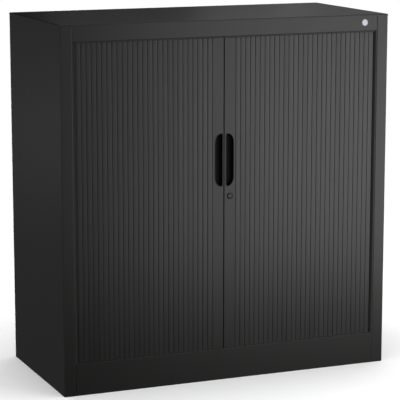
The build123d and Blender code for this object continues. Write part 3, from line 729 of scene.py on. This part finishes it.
def foot_pad_mesh(s, name):
    """Round moulded pad with a softened rim."""
    low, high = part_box(name)
    radius = min(high.x - low.x, high.y - low.y) / 2
    height = high.z - low.z
    middle = (low + high) / 2
    place = Matrix.Translation((middle.x, middle.y, low.z))
    profile = [(radius / 2, 0)] + arc((radius - s.pad_edge, s.pad_edge), s.pad_edge, -90, 0, 5)
    profile += arc((radius - s.pad_edge, height - s.pad_edge), s.pad_edge, 0, 90, 5)
    profile += [(radius / 2, height)]
    bm = bmesh.new()
    turned(bm, profile, place)
    return bm


def stem_mesh(s, name):
    """Threaded stem: rings whose radius follows the thread as it climbs."""
    steps, rows_per_turn = 24, 4
    low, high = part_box(name)
    major = (high.x - low.x) / 2
    height = high.z - low.z
    middle = (low + high) / 2
    place = Matrix.Translation((middle.x, middle.y, low.z))
    rows = round(height / s.thread_pitch * rows_per_turn)
    bm = bmesh.new()
    rings = []
    for i in range(rows + 1):
        outline = []
        for j in range(steps):
            phase = (i / rows_per_turn - j / steps) % 1
            radius = major - s.thread_depth * (1 - abs(2 * phase - 1))
            angle = 2 * math.pi * j / steps
            outline.append((radius * math.cos(angle), radius * math.sin(angle)))
        rings.append(ring(bm, outline, height * i / rows, place))
    skin(bm, rings)
    return bm


# ---------------------------------------------------------------- operators

class CABINET_OT_case(bpy.types.Operator):
    """Powder coat the folded steel of the case and its shelves."""
    bl_idname = "cabinet.case"
    bl_label = "Steel case"

    def execute(self, context):
        finish_nodes(context, "powder_coat", [
            "top_cover", "left_side_panel", "right_side_panel", "kick_plate", "back_panel", "floor_tray",
            "ceiling_tray", "left_liner", "right_liner", "left_base_rail", "right_base_rail",
            "left_top_side_rail", "right_top_side_rail", "lower_shelf", "upper_shelf"])
        return {"FINISHED"}


class CABINET_OT_curtains(bpy.types.Operator):
    """Build both curtains of hooked slats, which run round a bend behind the uprights."""
    bl_idname = "cabinet.curtains"
    bl_label = "Tambour curtains"

    def execute(self, context):
        settings = context.scene.cabinet_curtain
        for word, side in SIDES.items():
            bm = curtain_mesh(settings, word)
            curtain = new_piece(f"{word}_slats", bm, "slat_plastic", f"{word}_door")
            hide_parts(f"{word}_curtain")
            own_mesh(curtain)
        return {"FINISHED"}


class CABINET_OT_lead_slats(bpy.types.Operator):
    """Finish the stiff slats that lead the doors, and the shoes that guide them."""
    bl_idname = "cabinet.lead_slats"
    bl_label = "Lead slats"

    def execute(self, context):
        finish_nodes(context, "lead_aluminium", [f"{word}_lead_slat" for word in SIDES])
        finish_nodes(context, "track_plastic", [f"{word}_guide_shoes" for word in SIDES])
        return {"FINISHED"}


class CABINET_OT_grips(bpy.types.Operator):
    """Mould a finger cup for each lead slat, and frame its mouth with a bezel."""
    bl_idname = "cabinet.grips"
    bl_label = "Grip cups"

    def execute(self, context):
        settings = context.scene.cabinet_grip
        for word in SIDES:
            cup = new_piece(f"{word}_finger_cup", cup_mesh(settings, word), "black_plastic", f"{word}_door")
            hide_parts(f"{word}_grip_cup")
            new_piece(f"{word}_grip_bezel", bezel_mesh(settings, word), "lead_aluminium", f"{word}_door")
        return {"FINISHED"}


class CABINET_OT_lock(bpy.types.Operator):
    """Turn the lock's face, barrel and plug, and plate its cam, nut and keeper."""
    bl_idname = "cabinet.lock"
    bl_label = "Cam lock"

    def execute(self, context):
        settings = context.scene.cabinet_lock
        low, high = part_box("lock_housing")
        middle = (low + high) / 2
        face_y = low.y + settings.face_height
        length = high.y - face_y
        place = facing((middle.x, face_y, middle.z))
        case = new_piece("lock_case", lock_case_mesh(settings, place, length), "lock_metal", "right_door")
        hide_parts("lock_housing")
        plug = new_piece("lock_cylinder", lock_plug_mesh(settings, place, length), "lock_metal", "lock",
                         finish="plug_metal")
        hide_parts("lock_plug")
        finish_nodes(context, "zinc_steel", ["lock_nut", "lock_cam", "cam_screw", "lock_keeper"])
        return {"FINISHED"}


class CABINET_OT_disc(bpy.types.Operator):
    """Turn the plain disc at the top right, with a low rim round a flat middle."""
    bl_idname = "cabinet.disc"
    bl_label = "Plain disc"

    def execute(self, context):
        settings = context.scene.cabinet_disc
        low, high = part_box("badge_disc")
        middle = (low + high) / 2
        radius = (high.x - low.x) / 2
        height = high.y - low.y
        edge = height / 2
        inside = radius - settings.rim
        flat = height * settings.middle
        profile = [(radius / 4, flat), (inside - settings.slope, flat), (inside, height)]
        profile += arc((radius - edge, edge), edge, 90, 0, 4) + [(radius, 0)]
        bm = bmesh.new()
        turned(bm, profile, facing((middle.x, high.y, middle.z)))
        disc = new_piece("plain_disc", bm, "badge_metal", "carcass")
        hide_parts("badge_disc")
        return {"FINISHED"}


class CABINET_OT_tracks(bpy.types.Operator):
    """Finish the moulded tracks and the pressed fittings of the shelves."""
    bl_idname = "cabinet.tracks"
    bl_label = "Tracks and clips"

    def execute(self, context):
        finish_nodes(context, "track_plastic", [
            f"{word}_{level}_track" for word in SIDES for level in ("bottom", "top")])
        finish_nodes(context, "zinc_steel", ["shelf_clips"])
        return {"FINISHED"}


class CABINET_OT_seal(bpy.types.Operator):
    """Hang a rubber lip under the top rail, and fill the gap beside each upright with a rubber bead."""
    bl_idname = "cabinet.seal"
    bl_label = "Rubber seals"

    def execute(self, context):
        s = context.scene.cabinet_seal
        opening = context.scene.cabinet_curtain.opening
        lip = lip_mesh(s, opening - s.bead_reach)
        new_piece("dust_lip", lip, "black_plastic", "carcass", finish="rubber")
        for word, side in SIDES.items():
            bead = bead_mesh(s, side, opening)
            new_piece(f"{word}_edge_bead", bead, "black_plastic", "carcass", finish="rubber")
        return {"FINISHED"}


class CABINET_OT_feet(bpy.types.Operator):
    """Round the pads, thread the stems, and finish the nuts and plugs of the levelling feet."""
    bl_idname = "cabinet.feet"
    bl_label = "Levelling feet"

    def execute(self, context):
        settings = context.scene.cabinet_feet
        for corner in FEET:
            node = f"{corner}_foot"
            body = f"{corner}_leveller"
            pad = new_piece(f"{corner}_pad", foot_pad_mesh(settings, node), "black_plastic", body)
            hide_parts(node)
            stem = new_piece(f"{corner}_thread", stem_mesh(settings, f"{node}_stem"), "zinc_steel", body)
            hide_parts(f"{node}_stem")
        finish_nodes(context, "zinc_steel", ["foot_nuts"])
        finish_nodes(context, "black_plastic", ["access_plugs"])
        return {"FINISHED"}


class CABINET_OT_stage(bpy.types.Operator):
    """Lay the pale floor, light it softly and set up the camera."""
    bl_idname = "cabinet.stage"
    bl_label = "Stage"

    def execute(self, context):
        settings = context.scene.cabinet_stage
        add_floor(context, settings)
        add_room_light(context, settings)
        add_lights(context, settings)
        add_camera(context, settings)
        return {"FINISHED"}


# ---------------------------------------------------------------- stage

def add_floor(context, s):
    """A plain square floor, a hair under the case's lower edges."""
    bm = bmesh.new()
    bmesh.ops.create_grid(bm, x_segments=8, y_segments=8, size=s.floor_size / 2)
    bmesh.ops.translate(bm, verts=bm.verts, vec=(0, 0, -s.floor_drop))
    mesh = bpy.data.meshes.new("floor")
    bm.to_mesh(mesh)
    bm.free()
    mesh.materials.append(material_for(context, "floor"))
    floor = bpy.data.objects.new("floor", mesh)
    context.scene.collection.objects.link(floor)
    # The white floor isn't mirrored in the satin steel, which would lose the dark, graded look of the case.
    floor.visible_glossy = False
    floor.visible_diffuse = False


def add_room_light(context, s):
    """A dark room with a soft glow on the left, stronger at the front, and a plain pale backdrop in sight."""
    world = bpy.data.worlds.new("studio")
    world.use_nodes = True
    tree = world.node_tree
    tree.nodes.clear()
    sight = add_node(tree, "TexCoord").outputs["Generated"]
    total = None
    for strength, direction in ((s.front_glow, (-1, -1, 0)), (s.rear_glow, (-1, 1, 0))):
        toward = add_node(
            tree, "VectorMath", {1: Vector(direction).normalized()}, {0: sight}, operation="DOT_PRODUCT")
        lobe = add_node(tree, "Math", {1: 0.0}, {0: toward.outputs["Value"]}, operation="MAXIMUM")
        soft = add_node(tree, "Math", {1: s.glow_power}, {0: lobe.outputs[0]}, operation="POWER")
        glow = add_node(tree, "Math", {1: strength}, {0: soft.outputs[0]}, operation="MULTIPLY")
        if total:
            glow = add_node(tree, "Math", links={0: glow.outputs[0], 1: total}, operation="ADD")
        total = glow.outputs[0]
    room = add_node(tree, "Background", {"Color": (1, 1, 1, 1)}, {"Strength": total})
    backdrop = add_node(tree, "Background", {"Color": (1, 1, 1, 1), "Strength": s.backdrop})
    seen = add_node(tree, "LightPath").outputs["Is Camera Ray"]
    both = add_node(tree, "MixShader", links={
        0: seen, 1: room.outputs["Background"], 2: backdrop.outputs["Background"]})
    add_node(tree, "OutputWorld", links={"Surface": both.outputs["Shader"]})
    context.scene.world = world


def add_light(context, name, kind, place, aim, power, **settings):
    """A light at `place` that points at `aim`."""
    lamp = bpy.data.lights.new(name, kind)
    lamp.energy = power
    for key, value in settings.items():
        setattr(lamp, key, value)
    light = bpy.data.objects.new(name, lamp)
    light.location = place
    light.rotation_mode = "QUATERNION"
    light.rotation_quaternion = (Vector(aim) - Vector(place)).to_track_quat("-Z", "Y")
    light.visible_camera = False
    context.scene.collection.objects.link(light)
    return light


# Name, place, aim, width, height and watts.
SOFTBOXES = (
    ("key_softbox", (1.9, -2.4, 0.37), (1, -0.23, 0.5), 2.4, 0.7, 13.4),
    ("high_softbox", (1.9, -2.4, 0.95), (1, -0.23, 0.9), 2.4, 0.3, 8.6),
    ("strip_softbox", (1.55, -1.8, 0.32), (1, -0.23, 0.5), 1.9, 0.6, 1.5),
    ("low_softbox", (1.1, -1.3, 0.2), (0.6, -0.23, 0.35), 1.8, 0.35, 1.75),
    ("kick_softbox", (0.7, -0.95, 0.15), (0.4, -0.23, 0.25), 1.6, 0.25, 0.7),
    ("wall_softbox", (-2.2, 2.4, 0.3), (-0.5, 0, 0.5), 1.6, 0.5, 0.59),
    ("top_softbox", (0.8, -0.9, 2.4), (0.2, -0.2, 0.9), 1.4, 0.8, 6.6),
    ("rear_softbox", (2.8, 3.6, 1.3), (0.5, 0, 1.04), 1.6, 1.0, 0.98),
    ("edge_softbox", (1.2, 1.6, 1.7), (0.3, 0, 1.04), 1.0, 0.6, 0.58),
    ("back_softbox", (0.5, 1.4, 1.5), (0, 0, 1.04), 1.0, 0.4, 0.16),
)
# Softboxes that fill the other sides, and throw no light on the floor.
FILLS = (
    ("front_fill", (-1.9, -2.8, 0.8), (0, -0.235, 0.55), 1.6, 1.2, 5.0),
    ("back_fill", (0.9, 2.6, 0.38), (0.2, 0.235, 0.4), 2.6, 0.7, 12.0),
    ("right_fill", (2.9, 1.6, 0.38), (0.5, 0.3, 0.4), 3.4, 0.7, 15.0),
    ("left_fill", (-3.2, 0.6, 0.38), (-0.5, 0.2, 0.4), 1.6, 0.7, 2.0),
    ("overhead_fill", (0.9, 1.2, 3.4), (0.3, 0.3, 1.04), 2.4, 2.0, 12.0),
)


def floor_link(name, state):
    """A light-linking collection that includes or excludes the floor."""
    linked = bpy.data.collections.new(name)
    linked.objects.link(bpy.data.objects["floor"])
    linked.collection_objects[0].light_linking.link_state = state
    return linked


def add_softboxes(context, table, power):
    """The softboxes of a table, as objects."""
    return [add_light(context, name, "AREA", place, aim, watts * power,
                      shape="RECTANGLE", size=wide, size_y=high)
            for name, place, aim, wide, high, watts in table]


def add_lights(context, s):
    """Softboxes for all, fills for all but the floor, and an even wash for the floor alone."""
    add_softboxes(context, SOFTBOXES, s.power)
    not_floor = floor_link("not_floor", "EXCLUDE")
    for fill in add_softboxes(context, FILLS, s.power):
        fill.light_linking.receiver_collection = not_floor
    wash = add_light(context, "floor_wash", "SUN", (0, 0, 5), (0, 0.001, 0), s.wash, angle=s.wash_spread)
    wash.light_linking.receiver_collection = floor_link("floor_only", "INCLUDE")


def add_camera(context, s):
    """The camera, on a sphere round its aim."""
    turn, rise = s.azimuth, s.elevation
    back = Vector((math.sin(turn) * math.cos(rise), -math.cos(turn) * math.cos(rise), math.sin(rise)))
    right = Vector((math.cos(turn), math.sin(turn), 0))
    up = back.cross(right)
    aim = Vector(s.aim) + right * s.aim_right + up * s.aim_up
    lens = bpy.data.cameras.new("camera")
    lens.lens = s.lens
    lens.sensor_width = 36.0
    lens.clip_end = 500.0
    camera = bpy.data.objects.new("camera", lens)
    camera.location = aim + back * s.distance
    camera.rotation_mode = "QUATERNION"
    camera.rotation_quaternion = (-back).to_track_quat("-Z", "Y")
    context.scene.collection.objects.link(camera)
    context.scene.camera = camera
    context.scene.view_settings.view_transform = "Standard"


# ---------------------------------------------------------------- add-on

SETTINGS = {
    "cabinet_finishes": FinishSettings,
    "cabinet_curtain": CurtainSettings,
    "cabinet_grip": GripSettings,
    "cabinet_lock": LockSettings,
    "cabinet_disc": DiscSettings,
    "cabinet_feet": FootSettings,
    "cabinet_seal": SealSettings,
    "cabinet_stage": StageSettings,
}
OPERATORS = (CABINET_OT_case, CABINET_OT_curtains, CABINET_OT_lead_slats, CABINET_OT_grips, CABINET_OT_lock,
             CABINET_OT_disc, CABINET_OT_tracks, CABINET_OT_seal, CABINET_OT_feet, CABINET_OT_stage)


class CABINET_PT_build(bpy.types.Panel):
    """Buttons for the pieces, and the sizes and colours that they use."""
    bl_idname = "CABINET_PT_build"
    bl_label = "Tambour Door Cabinet"
    bl_space_type = "VIEW_3D"
    bl_region_type = "UI"
    bl_category = "Cabinet"

    def draw(self, context):
        for operator in OPERATORS:
            self.layout.operator(operator.bl_idname)
        for name, group in SETTINGS.items():
            box = self.layout.box()
            for key in group.__annotations__:
                box.prop(getattr(context.scene, name), key)


def register():
    for group in SETTINGS.values():
        bpy.utils.register_class(group)
    for operator in OPERATORS:
        bpy.utils.register_class(operator)
    bpy.utils.register_class(CABINET_PT_build)
    for name, group in SETTINGS.items():
        setattr(bpy.types.Scene, name, PointerProperty(type=group))


def unregister():
    for name in SETTINGS:
        delattr(bpy.types.Scene, name)
    bpy.utils.unregister_class(CABINET_PT_build)
    for operator in reversed(OPERATORS):
        bpy.utils.unregister_class(operator)
    for group in reversed(SETTINGS.values()):
        bpy.utils.unregister_class(group)


def main():
    register()
    bpy.ops.cabinet.case()
    bpy.ops.cabinet.curtains()
    bpy.ops.cabinet.lead_slats()
    bpy.ops.cabinet.grips()
    bpy.ops.cabinet.lock()
    bpy.ops.cabinet.disc()
    bpy.ops.cabinet.tracks()
    bpy.ops.cabinet.seal()
    bpy.ops.cabinet.feet()
    bpy.ops.cabinet.stage()


if __name__ == "__main__":
    main()
